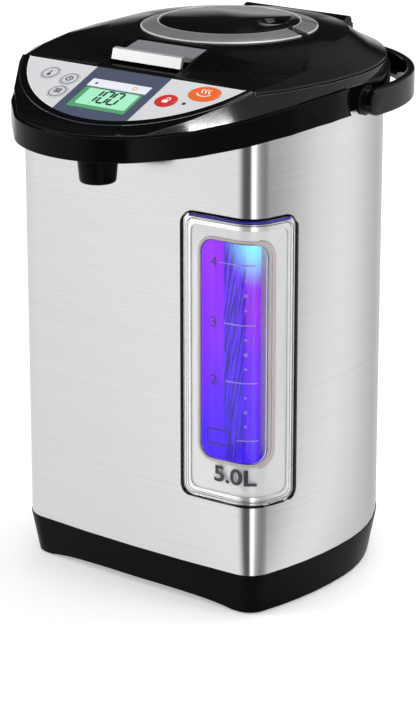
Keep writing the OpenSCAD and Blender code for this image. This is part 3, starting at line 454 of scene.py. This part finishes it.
def window_light(name, streaks, middle):
    """Clear plastic lit through from behind by the gauge's lamps."""
    material, tree, shader = new_material(name, Roughness=0.25, Emission_Strength=1.0,
                                          Specular_IOR_Level=0.25)
    sheen = use_group(tree, GRAIN, Size=900.0)["Sheen"]
    put(tree, shader["Base Color"], blended(tree, sheen, (0.01, 0.01, 0.03), (0.02, 0.015, 0.05)))
    glow = use_group(tree, WINDOW_GLOW, Streaks=streaks, Middle=middle)
    put(tree, shader["Emission Color"], glow["Colour"])
    return material


# edge colours of the black plastics: a painted highlight along their edges
BRIGHT_EDGE_HIGHLIGHT, DULL_EDGE_HIGHLIGHT = (0.11, 0.11, 0.115), (0.04, 0.04, 0.04)
# colour, roughness from and to, grain size, grain depth in metres, and what else is its own
PLASTICS = {
    "gloss_black": ((0.0016, 0.0016, 0.0018), (0.06, 0.1), 500.0, 0.000003,
                    dict(dust=0.012, edge=0.45, edge_colour=BRIGHT_EDGE_HIGHLIGHT, Specular_IOR_Level=0.15)),
    "skirt_black": ((0.0014, 0.0014, 0.0016), (0.1, 0.16), 500.0, 0.000003,
                    dict(edge=0.4, edge_colour=BRIGHT_EDGE_HIGHLIGHT, Specular_IOR_Level=0.06)),
    "satin_black": ((0.002, 0.002, 0.0022), (0.22, 0.32), 1500.0, 0.000015,
                    dict(edge=0.3, edge_colour=DULL_EDGE_HIGHLIGHT, Specular_IOR_Level=0.035)),
    "inner_black": ((0.02, 0.02, 0.021), (0.5, 0.62), 1400.0, 0.00003, {}),
    "silver_plate": ((0.66, 0.67, 0.685), (0.3, 0.38), 2600.0, 0.00001, dict(Metallic=0.08)),
    "window_silver": ((0.8, 0.8, 0.8), (0.3, 0.38), 1800.0, 0.00001, dict(Metallic=0.1)),
    "slot_cream": ((0.6, 0.53, 0.51), (0.35, 0.45), 1800.0, 0.00001, {}),
    "slate_band": ((0.07, 0.085, 0.14), (0.26, 0.34), 2600.0, 0.00001, {}),
    "header_grey": ((0.74, 0.77, 0.82), (0.28, 0.34), 2600.0, 0.00001, {}),
    "display_green": ((0.1, 0.32, 0.16), (0.08, 0.14), 900.0, 0.000002, {}),
    "key_grey": ((0.56, 0.57, 0.59), (0.28, 0.36), 2200.0, 0.00001, dict(edge=0.3)),
    "key_red": ((0.62, 0.025, 0.02), (0.24, 0.32), 2200.0, 0.00001, dict(edge=0.3)),
    "key_orange": ((0.8, 0.13, 0.02), (0.24, 0.32), 2200.0, 0.00001, dict(edge=0.3)),
    "latch_grey": ((0.2, 0.205, 0.215), (0.22, 0.3), 1600.0, 0.00001, dict(edge=0.4)),
    "latch_chrome": ((0.5, 0.5, 0.51), (0.16, 0.24), 1600.0, 0.000004, dict(Metallic=0.25)),
    "shade_blue": ((0.02, 0.006, 0.35), (0.3, 0.4), 1800.0, 0.000004, {}),
    "cover_glow": ((0.02, 0.012, 0.32), (0.2, 0.3), 1800.0, 0.000004, {}),
    "rubber": ((0.02, 0.02, 0.02), (0.7, 0.85), 700.0, 0.0001, {}),
    "silicone": ((0.62, 0.62, 0.6), (0.5, 0.6), 900.0, 0.00003, {}),
    "board": ((0.03, 0.16, 0.06), (0.35, 0.45), 800.0, 0.00003, {}),
    "electric": ((0.06, 0.1, 0.24), (0.35, 0.5), 800.0, 0.00003, {}),
    "pump_white": ((0.7, 0.7, 0.68), (0.35, 0.45), 1200.0, 0.00003, {}),
}
INKS = {
    "ink_dark": (0.02, 0.02, 0.035), "ink_grey": (0.045, 0.045, 0.05),
    "ink_white": (0.85, 0.85, 0.84), "ink_pale": (0.35, 0.3, 0.75),
    "ink_lcd": (0.01, 0.03, 0.02), "ink_amber": (0.85, 0.4, 0.05),
}
FINISH = {
    "stainless": metal("stainless", (0.66, 0.66, 0.665), (0.12, 0.22), 1100.0, 3.0, Anisotropic=0.7,
                       Anisotropic_Rotation=0.25),
    "pot_steel": metal("pot_steel", (0.6, 0.6, 0.6), (0.3, 0.42), 700.0, share=0.5),
    "bright_steel": metal("bright_steel", (0.62, 0.62, 0.63), (0.16, 0.26)),
    "heater_metal": metal("heater_metal", (0.5, 0.5, 0.5), (0.4, 0.55), 300.0, 300.0, 0.0001),
    "brass": metal("brass", (0.6, 0.42, 0.16), (0.25, 0.35)),
    "clear_cover": clear("clear_cover", (0.985, 0.985, 0.99), 0.01),
    # the streak amounts are painted shade of the level tube
    "clear_tube": window_light("clear_tube", 0.25, 0.014),
    "backlight": window_light("backlight", 1.0, 0.0035),
    "lamp": glowing("lamp", (0.8, 0.9, 1.0), (0.9, 0.95, 1.0), 1.5, 14.0),
    "display_lit": glowing("display_lit", (0.36, 0.88, 0.54), (0.47, 0.96, 0.68), 0.95, 30.0),
    # the ring's second colour is its painted edge highlight
    "ring_silver": ringed("ring_silver", (0.15, 0.155, 0.16), (0.72, 0.72, 0.73), (0.0452, 0.056)),
}
for name, (*look, own) in PLASTICS.items():
    FINISH[name] = moulded(name, *look, **own)
for name, colour in INKS.items():
    FINISH[name] = moulded(name, colour, (0.35, 0.5), 3000.0, 0.00003)


def finish_piece(piece, name):
    piece.data.materials.clear()
    piece.data.materials.append(FINISH[name])


def second_finish(piece, name, test):
    """Gives the faces that pass the test a second finish."""
    piece.data.materials.append(FINISH[name])
    for face in piece.data.polygons:
        if test(face.center, face.normal):
            face.material_index = 1


# ---- working on pieces ----

slots = {part["node"]: part["material_slot"] for part in frame["record"]["subparts"]}
bodies = frame["record"]["behaviour"]["bodies"]
body_of = {node: body for body, nodes in bodies.items() for node in nodes}


def clear_selection():
    for other in bpy.context.selected_objects:
        other.select_set(False)


def only(piece):
    clear_selection()
    piece.select_set(True)
    bpy.context.view_layer.objects.active = piece


def pick_faces(piece, test):
    """In edit mode, selects the faces whose middle and normal pass the test."""
    bpy.ops.mesh.select_mode(type="FACE")
    bpy.ops.mesh.select_all(action="DESELECT")
    bpy.ops.object.mode_set(mode="OBJECT")
    for face in piece.data.polygons:
        face.select = test(face.center, face.normal)
    bpy.ops.object.mode_set(mode="EDIT")


def settle(piece, finish, body, name=None, smooth=None):
    """Puts the place into the mesh, gives the finish and hangs the piece on its body."""
    if name:
        piece.name = piece.data.name = name
    only(piece)
    bpy.ops.object.transform_apply(location=True, rotation=True, scale=True)
    if smooth is not None:
        bpy.ops.object.shade_smooth_by_angle(angle=radians(smooth))
    finish_piece(piece, finish)
    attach(piece, body)


def rounded(piece, width, segments, angle):
    """Rounds the edges that turn more than the angle, in degrees."""
    edges = piece.modifiers.new("edges", "BEVEL")
    edges.width, edges.segments = width, segments
    edges.limit_method, edges.angle_limit = "ANGLE", radians(angle)
    only(piece)
    bpy.ops.object.modifier_apply(modifier=edges.name)


def smooth_node(node, angle=25, edge=0.0, edge_from=30):
    """A welded copy of a solid, with its small edges rounded and its curves smooth."""
    piece = bpy.data.objects.new(node + "_skin", frame["nodes"][node].data.copy())
    scene.collection.objects.link(piece)
    only(piece)
    bpy.ops.object.mode_set(mode="EDIT")
    bpy.ops.mesh.select_all(action="SELECT")
    bpy.ops.mesh.remove_doubles(threshold=0.000002)
    bpy.ops.mesh.dissolve_limited(angle_limit=radians(0.3))
    bpy.ops.object.mode_set(mode="OBJECT")
    if edge:
        rounded(piece, edge, 2, edge_from)
    bpy.ops.object.shade_smooth_by_angle(angle=radians(angle))
    finish_piece(piece, OWN_FINISH.get(node, slots[node]))
    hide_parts(node)
    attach(piece, body_of[node])
    return piece


def strokes(name, lines, width, thick=0.05):
    """Drawn lines, each a list of points in millimetres, closed where it ends on its start."""
    drawn = bpy.data.curves.new(name, "CURVE")
    drawn.dimensions = "3D"
    drawn.bevel_depth = width / 2 * MM
    drawn.bevel_resolution = 1
    drawn.use_fill_caps = True
    for points in lines:
        closed = (Vector(points[0]) - Vector(points[-1])).length < 0.001
        points = points[:-1] if closed else points
        line = drawn.splines.new("POLY")
        line.points.add(len(points) - 1)
        line.use_cyclic_u = closed
        for spot, place in zip(line.points, points):
            spot.co = (place[0] * MM, place[1] * MM, 0, 1)
    piece = bpy.data.objects.new(name, drawn)
    scene.collection.objects.link(piece)
    only(piece)
    bpy.ops.object.convert(target="MESH")
    piece = bpy.context.object
    for point in piece.data.vertices:
        point.co.z *= thick / width
    return piece


def arc_points(centre, radius, start, end, steps=16, squeeze=1.0):
    turns = [radians(start + (end - start) * i / steps) for i in range(steps + 1)]
    return [(centre[0] + radius * cos(t), centre[1] + squeeze * radius * sin(t)) for t in turns]


def soft_box_points(low, high, corner, steps=5):
    """A closed rectangle with round corners."""
    spots = ((high[0] - corner, high[1] - corner, 0), (low[0] + corner, high[1] - corner, 90),
             (low[0] + corner, low[1] + corner, 180), (high[0] - corner, low[1] + corner, 270))
    points = []
    for x, y, turn in spots:
        points += arc_points((x, y), corner, turn, turn + 90, steps)
    return points + points[:1]


def closely(points, step=1.0):
    """The same line with a point at least every step, so that it can bend."""
    out = [points[0]]
    for (ax, ay), (bx, by) in zip(points, points[1:]):
        count = max(1, round(hypot(bx - ax, by - ay) / step))
        out += [(ax + (bx - ax) * i / count, ay + (by - ay) * i / count)
                for i in range(1, count + 1)]
    return out


# ---- the steel wall and the window in it ----

# The outer wall as arcs that touch: a centre and a radius, in millimetres
FRONT, SIDE, CORNER_R = (Vector((0, 1040)), 1140), (Vector((-119, -10)), 225), 18
INK_OUT = 0.96


def corner_of_body():
    """The centre of the corner's arc, which touches the front and the side from inside."""
    (c1, r1), (c2, r2) = (FRONT[0], FRONT[1] - CORNER_R), (SIDE[0], SIDE[1] - CORNER_R)
    distance = (c2 - c1).length
    along = (r1 * r1 - r2 * r2 + distance * distance) / (2 * distance)
    off = sqrt(r1 * r1 - along * along)
    way = (c2 - c1) / distance
    both = (c1 + way * along + Vector((-way.y, way.x)) * k for k in (off, -off))
    return min(both, key=lambda place: place.y)


CORNER = corner_of_body()
TURN_FROM = atan2(CORNER.y - FRONT[0].y, CORNER.x - FRONT[0].x)
TURN_TO = atan2(CORNER.y - SIDE[0].y, CORNER.x - SIDE[0].x)
TURN_HALF = CORNER_R * (TURN_TO - TURN_FROM) / 2


def wall_place(run, out):
    """The point out from the wall, run millimetres round from the middle of the window corner."""
    if run < -TURN_HALF:
        centre, radius, angle = FRONT[0], FRONT[1], TURN_FROM + (run + TURN_HALF) / FRONT[1]
    elif run > TURN_HALF:
        centre, radius, angle = SIDE[0], SIDE[1], TURN_TO + (run - TURN_HALF) / SIDE[1]
    else:
        centre, radius, angle = CORNER, CORNER_R, (TURN_FROM + TURN_TO) / 2 + run / CORNER_R
    return centre + (radius + out) * Vector((cos(angle), sin(angle)))


def wall_outward(place):
    """The direction straight out of the steel wall at a place on it."""
    spot = Vector((abs(place.x), place.y)) / MM
    turn = atan2(spot.y - CORNER.y, spot.x - CORNER.x)
    if spot.y > SIDE[0].y:
        way = spot - Vector((0, SIDE[0].y))
    elif turn < TURN_FROM:
        way = spot - FRONT[0]
    elif turn > TURN_TO:
        way = spot - SIDE[0]
    else:
        way = spot - CORNER
    way = way.normalized()
    return Vector((way.x if place.x > 0 else -way.x, way.y, 0))


def true_curve(piece):
    """Shades the outside of the wall as the smooth curve that its facets stand for."""
    mesh = piece.data
    normals = [(0, 0, 0)] * len(mesh.loops)
    upright, outside = 0.1, 0.95
    for face in mesh.polygons:
        if abs(face.normal.z) < upright:
            for spot in face.loop_indices:
                way = wall_outward(mesh.vertices[mesh.loops[spot].vertex_index].co)
                if way.dot(face.normal) > outside:
                    normals[spot] = way
    mesh.normals_split_custom_set(normals)


def depth_in_wall(place):
    """How far a place lies inside the body's outer wall, in millimetres."""
    spot = Vector((place.x, place.y)) / MM
    return min(radius - (spot - centre).length for centre, radius in (FRONT, SIDE))


def wrap_on_wall(piece, out):
    """Bends a flat mesh, drawn as run and level, round the corner of the body."""
    for point in piece.data.vertices:
        place = wall_place(point.co.x * TO_MM, out + point.co.z * TO_MM)
        point.co = (place.x * MM, place.y * MM, point.co.y)


def wall_line(name, lines, width, thick, out, finish, smooth=None):
    """Lines on the wall; their points are run and level in millimetres."""
    piece = strokes(name, lines, width, thick)
    wrap_on_wall(piece, out)
    settle(piece, finish, "housing", smooth=smooth)


def numeral(name, text, height, run, level, weight=0.0):
    """Printed digits on the window; height, run and level in millimetres."""
    clear_selection()
    bpy.ops.object.text_add(location=(0, 0, 0))
    piece = bpy.context.object
    piece.data.body = text
    piece.data.align_x = "CENTER"
    piece.data.extrude = 0.01
    piece.data.offset = weight
    piece.data.resolution_u = 4
    bpy.ops.object.convert(target="MESH")
    piece = bpy.context.object
    scale = height * MM / max(p.co.y for p in piece.data.vertices)
    wider, thinner = 1.15, 0.002
    for point in piece.data.vertices:
        x, y, z = point.co
        point.co = (x * scale * wider + run * MM, y * scale + level * MM, z * thinner)
    wrap_on_wall(piece, INK_OUT)
    settle(piece, "ink_dark", "housing", name)


def make_window_marks():
    """The scale: a number and a line for each litre, dots between them, and the capacity below."""
    for text, level in (("4", 224.8), ("3", 187), ("2", 150)):
        numeral("litre_" + text, text, 6.2, -25.4, level)
    numeral("capacity_mark", "5.0L", 10.2, -11.4, 88.0, 0.026)
    litres = ((-21.5, 1.5, 228), (-18, 1.7, 190.4), (-17, 3, 153.8), (-9, 3.6, 117))
    ticks = [closely([(start, level), (end, level + 0.4)]) for start, end, level in litres]
    wall_line("litre_lines", ticks, 0.7, 0.05, INK_OUT, "ink_pale")
    quarters = (218.7, 209.4, 200.1, 181.6, 172.3, 163, 144.7, 135.5, 126.4)
    dots = [arc_points((-3.9, level), 0.75 if i % 3 == 1 else 0.42, 0, 360, 10)
            for i, level in enumerate(quarters)]
    wall_line("quarter_dots", dots, 0.7, 0.05, INK_OUT, "ink_pale")
    refill = closely(soft_box_points((-29.6, 111.9), (-13.6, 121.1), 1.4))
    wall_line("refill_box", [refill], 0.8, 0.05, INK_OUT, "ink_dark")


def make_window_trim():
    """The black line where the cover meets the steel, the cover's step, and the lit slot's lip."""
    gasket = closely(soft_box_points((-48.4, 73.6), (30.4, 255.9), 7.0), 2.0)
    wall_line("cover_gasket", [gasket], 1.5, 0.9, 0.35, "satin_black", 40)
    step = closely(soft_box_points((-45.2, 76.8), (27.4, 252.4), 5.0), 2.0)
    wall_line("cover_step", [step], 0.45, 0.3, INK_OUT, "ink_grey")
    top = closely([(-42.5, 254.9), (24.5, 254.9)], 1.5)
    wall_line("cover_top_glow", [top], 1.9, 1.2, 1.9, "cover_glow")
    lip = soft_box_points((-37.0, 100.1), (11.7, 241.9), 9.6)
    wall_line("slot_lip", [closely(lip, 1.5)], 1.8, 0.25, -0.62, "slot_cream")
    # the cream wall shows wider on the far side of the slot, and narrows into the lip at both ends
    bend = [radians(80 - 8 * i) for i in range(11)]
    side = [(2.1 + (9.6 + 2.4 * cos(a)) * cos(a), 232.3 + (9.6 + 1.2 * cos(a)) * sin(a))
            for a in bend]
    side += [(run, 342 - level) for run, level in reversed(side)]
    wall_line("slot_side", [closely(side, 1.5)], 3.2, 0.25, -0.62, "slot_cream")
    shade = soft_box_points((-35.7, 101.4), (10.3, 240.6), 8.6)
    wall_line("slot_shade", [closely(shade, 1.5)], 0.7, 0.5, -1.3, "shade_blue")


def make_back_seam():
    """The lap where the steel sheet closes at the back."""
    low, high = (corner[2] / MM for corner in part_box("body_shell"))
    line = strokes("back_seam", [[(0, low + 0.5), (0, high - 0.5)]], 0.9, 0.5)
    beside, back = 0.014, 0.09507
    for point in line.data.vertices:
        point.co = (point.co.x + beside, back + point.co.z, point.co.y)
    settle(line, "bright_steel", "housing", smooth=40)


# ---- the sloped panel with its keys and display ----

PANEL_TILT = radians(20.8)
PANEL_Y, PANEL_LEVEL = -120, 323.995
PANEL_MIDDLE = Matrix.Translation((0, PANEL_Y * MM, PANEL_LEVEL * MM))
PANEL = PANEL_MIDDLE @ Matrix.Rotation(PANEL_TILT, 4, "X")
# the middle of each key in x and y, and half its width and height
KEYS = {
    "temperature_button": (-54.5, -107.1, 6.5, 6.5), "timer_button": (-37.4, -110, 6.5, 6.5),
    "reboil_button": (-36.3, -123.1, 6.5, 6.5), "unlock_button": (39, -114.9, 7.2, 6.5),
    "dispense_button": (58.5, -103.3, 10.7, 7.7),
}


def up_slope(y):
    return (y - PANEL_Y) / cos(PANEL_TILT)


def on_plate(piece, finish, name, x=0.0, up=0.0, out=0.5, smooth=None, body="housing"):
    """Lays a piece that was drawn flat on the panel; out is its height over the plate."""
    piece.data.transform(PANEL @ Matrix.Translation((x * MM, up * MM, out * MM)))
    settle(piece, finish, body, name, smooth)


def make_key(node):
    """A key: an oval post with a rounded rim, and a soft crown in steps inwards and upwards."""
    x, y, wide, tall = KEYS[node]
    post, middle, rim = 4.6 * MM, -2.4 * MM, 0.45 * MM
    crown = ((0.5, 0.14), (0.9, 0.12), (1.3, 0.08), (1.4, 0.04))
    clear_selection()
    bpy.ops.mesh.primitive_cylinder_add(vertices=64, radius=MM, depth=post,
                                        location=(0, 0, middle))
    key = bpy.context.object
    bpy.ops.object.transform_apply(location=True, rotation=True, scale=True)
    bpy.ops.object.mode_set(mode="EDIT")
    bpy.ops.mesh.select_all(action="SELECT")
    bpy.ops.transform.resize(value=(wide, tall, 1))
    pick_faces(key, lambda place, normal: normal.z > 0.9)
    bpy.ops.mesh.extrude_region_move(TRANSFORM_OT_translate={"value": (0, 0, rim)})
    for step, lift in crown:
        bpy.ops.mesh.inset(thickness=step * MM)
        bpy.ops.transform.translate(value=(0, 0, lift * MM))
    bpy.ops.object.mode_set(mode="OBJECT")
    rounded(key, 0.0001, 2, 50)
    on_plate(key, slots[node], node + "_cap", x, up_slope(y), 0, 40, node)
    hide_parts(node)


def print_on_key(node, name, lines, width, finish, lift):
    x, y = KEYS[node][:2]
    on_plate(strokes(name, lines, width), finish, name, x, up_slope(y), lift, body=node)


def make_keys():
    """The five keys, with a ring on each grey one and a plain sign on each."""
    for node in KEYS:
        make_key(node)
    circle = arc_points((0, 0), 5.4, 0, 360, 48)
    for node in ("temperature_button", "timer_button", "reboil_button"):
        print_on_key(node, node + "_ring", [circle], 0.5, "ink_grey", 0.68)
    ball = (0, -2.1)
    bulb = [[(0, -1.6), (0, 1.9)], arc_points(ball, 0.75, 0, 360, 16),
            arc_points(ball, 0.3, 0, 360, 10)]
    print_on_key("temperature_button", "temperature_sign", bulb, 0.95, "ink_dark", 0.76)
    clock = [arc_points((0, 0), 2.1, 0, 360, 24), [(0, 1.3), (0, 0), (0.9, -0.5)]]
    print_on_key("timer_button", "timer_sign", clock, 0.8, "ink_dark", 0.76)
    waves = [[(-2.4 + i * 0.4, row + 0.5 * sin(i * 1.05)) for i in range(13)]
             for row in (-1.1, 0.5, 2.1)]
    print_on_key("reboil_button", "reboil_sign", waves, 0.8, "ink_dark", 0.76)
    block = [[(-1.9, level), (1.9, level)] for level in (-2.2, -1.5, -0.8, -0.1)]
    padlock = block + [arc_points((0.9, 1.1), 1.3, -40, 190, 14, 1.2)]
    print_on_key("unlock_button", "unlock_sign", padlock, 0.85, "ink_white", 0.78)
    steam = [[(x + 0.6 * sin((i + 1) * 0.9), -0.2 + i * 0.62) for i in range(8)]
             for x in (-2.5, 0, 2.5)]
    cup = [arc_points((0, 0.2), 5.0, 190, 350, 16, 0.66)]
    print_on_key("dispense_button", "dispense_sign", steam + cup, 0.95, "ink_white", 0.8)


# The bars of a digit, from and to, across and up
SEGMENTS = {"a": ((0, 1), (1, 1)), "b": ((1, 1), (1, 0.5)), "c": ((1, 0.5), (1, 0)),
            "d": ((0, 0), (1, 0)), "e": ((0, 0.5), (0, 0)), "f": ((0, 1), (0, 0.5))}


def digit_bars(left, lit):
    """The lit bars of one leaning digit, with gaps between them."""
    wide, tall, lean, foot, gap = 5.5, 12.4, 1.4, -8.6, 0.55
    bars = []
    for name in lit:
        a, b = (Vector((left + wide * x + lean * y, tall * y + foot)) for x, y in SEGMENTS[name])
        trim = (b - a).normalized() * gap
        bars.append([tuple(a + trim), tuple(b - trim)])
    return bars


def make_display():
    """The lit field with its bar digits, and the two marks in the header strip."""
    clear_selection()
    bpy.ops.mesh.primitive_plane_add(size=MM, location=(0, 0, 0))
    field = bpy.context.object
    wide, tall, corner, thick = 37, 17, 0.8 * MM, 0.12 * MM
    bpy.ops.object.mode_set(mode="EDIT")
    bpy.ops.transform.resize(value=(wide, tall, 1))
    bpy.ops.mesh.bevel(offset=corner, segments=4, affect="VERTICES")
    bpy.ops.mesh.extrude_region_move(TRANSFORM_OT_translate={"value": (0, 0, thick)})
    bpy.ops.object.mode_set(mode="OBJECT")
    on_plate(field, "display_lit", "display_field", 1.2, -3.0, 0.5)
    bars = digit_bars(-12.4, "bc") + digit_bars(-4.2, "abcdef") + digit_bars(3.4, "abcdef")
    on_plate(strokes("bars", bars, 1.7), "ink_lcd", "display_digits", 0, 0.6, 0.66)
    arrow = [(-8.2, -9.3), (-6.6, -9.3), (-7.4, -10.3), (-8.2, -9.3)]
    on_plate(strokes("arrow", [arrow], 0.4), "ink_lcd", "display_arrow", 0, 0.4, 0.66)
    dot = arc_points((-16.6, 10.9), 0.5, 0, 360, 12)
    on_plate(strokes("dot", [dot], 1.0), "ink_dark", "mode_dot", out=0.54)
    sun = arc_points((11.6, 11.6), 1.4, 0, 360, 20)
    on_plate(strokes("sun", [sun], 0.7), "ink_amber", "mode_ring", out=0.54)


def make_panel_edge():
    """The black lip that frames the plates, and the pale line inside it."""
    half, low, high = 86.5, up_slope(-147), up_slope(-94.2)
    radius = (half ** 2 + (high - low) ** 2) / (2 * (high - low))
    sweep = degrees(atan2(half - 0.6, radius - (high - low)))
    middle = (0, low + radius)
    lip = arc_points(middle, radius - 2.4, 270 - sweep, 270 + sweep, 60)
    on_plate(strokes("lip", [lip], 4.8, 1.1), "gloss_black", "panel_lip", out=0.2, smooth=40)
    rim = arc_points(middle, radius - 5, 270.9 - sweep, 269.1 + sweep, 60)
    top = [(x, high - 0.4) for x in (rim[-1][0], rim[0][0])]
    on_plate(strokes("rim", [rim + top + rim[:1]], 0.5, 0.2), "ink_white", "panel_rim", out=0.2)


# ---- dress every node ----

# smooth below this angle, round the edges by this much in metres, and from which angle
SMOOTH = {
    "body_shell": (25,), "base_shell": (25, 0.0005), "shoulder": (25, 0.0006),
    "head_frame": (14, 0.0005), "lid_cover": (10, 0.0004, 12), "lid_frame": (25, 0.0003),
    "lid_ring": (25, 0.0004), "ring_tab": (25, 0.0004), "vent_disc": (25, 0.0005),
    "latch_lever": (20, 0.0004), "handle_bail": (25, 0.0012), "handle_hubs": (25, 0.0006),
    "spout_nozzle": (25, 0.0006), "window_cover": (25, 0.0004), "inner_pot": (25,),
    "power_inlet": (25, 0.0005), "panel_plates": (25,), "panel_band": (25,),
    "window_panel": (25, 0.0004), "lid_liner": (25,), "display_window": (25, 0.0002),
    "display_bezel": (25, 0.0002), "window_backlight": (25,),
}
OWN_FINISH = {"inner_pot": "pot_steel", "shoulder": "skirt_black"}


def is_trough_side(place, normal):
    """The side wall of the lit trough, which shows cream through the slot."""
    deepest, from_x, towards_front = 13.4, 0.08, -0.5
    return depth_in_wall(place) < deepest and normal.y < towards_front and place.x > from_x


def is_latch_lip(place, normal):
    """The chrome lip along the front of the latch."""
    back_of_lip = -0.0704
    return place.y < back_of_lip


skins = {}
for node in frame["nodes"]:
    if node in SMOOTH:
        skins[node] = smooth_node(node, *SMOOTH[node])
    elif node not in KEYS:
        finish_piece(frame["nodes"][node], slots[node])
make_keys()
make_display()
make_panel_edge()
make_window_marks()
make_window_trim()
make_back_seam()
true_curve(skins["body_shell"])
second_finish(skins["window_backlight"], "slot_cream", is_trough_side)
second_finish(skins["latch_lever"], "latch_chrome", is_latch_lip)
lit_by_strip = bpy.data.collections.new("lit_by_rim_strip")
lit_by_strip.objects.link(skins["head_frame"])
rim_strip.light_linking.receiver_collection = lit_by_strip
